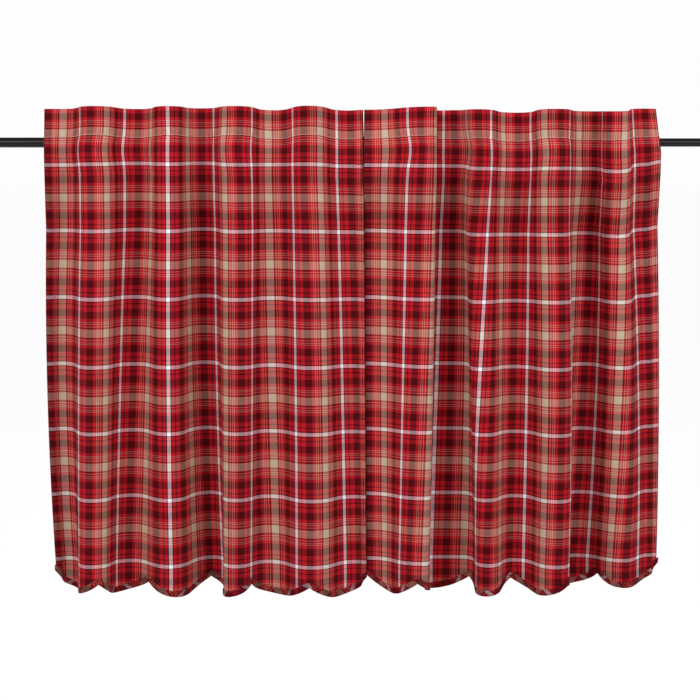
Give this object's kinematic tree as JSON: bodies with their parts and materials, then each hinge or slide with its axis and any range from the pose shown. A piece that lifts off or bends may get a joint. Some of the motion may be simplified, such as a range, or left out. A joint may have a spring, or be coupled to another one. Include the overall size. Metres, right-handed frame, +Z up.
{
  "type": "tier curtain pair on a cafe rod",
  "caption": "Scalloped cafe tier curtains in red plaid with a bias-bound hem, gathered by their rod pockets on a slim telescoping rod.",
  "frame": {"origin": "on the rod's axis, at the middle of its length", "axes": "+X along the rod to the viewer's right, +Y away from the room towards the window, +Z up"},
  "size_m": [1.424, 0.1408, 0.9247],
  "materials": {
    "plaid_cotton": "plain-woven yarn-dyed cotton in a red, maroon, tan and white plaid, matte with a soft nap",
    "bias_binding": "the same plaid cotton cut on the bias and folded over the edge",
    "rod_bronze": "oil-rubbed bronze lacquer on steel tube, satin",
    "cap_bronze": "dark bronze moulded plastic, satin"
  },
  "bodies": {
    "root": {"rod_outer_tube": "rod_bronze", "rod_inner_tube": "rod_bronze", "rod_cap_left": "cap_bronze", "rod_cap_right": "cap_bronze", "left_panel": "plaid_cotton", "left_binding": "bias_binding", "right_panel": "plaid_cotton", "right_binding": "bias_binding"}
  },
  "joints": []
}
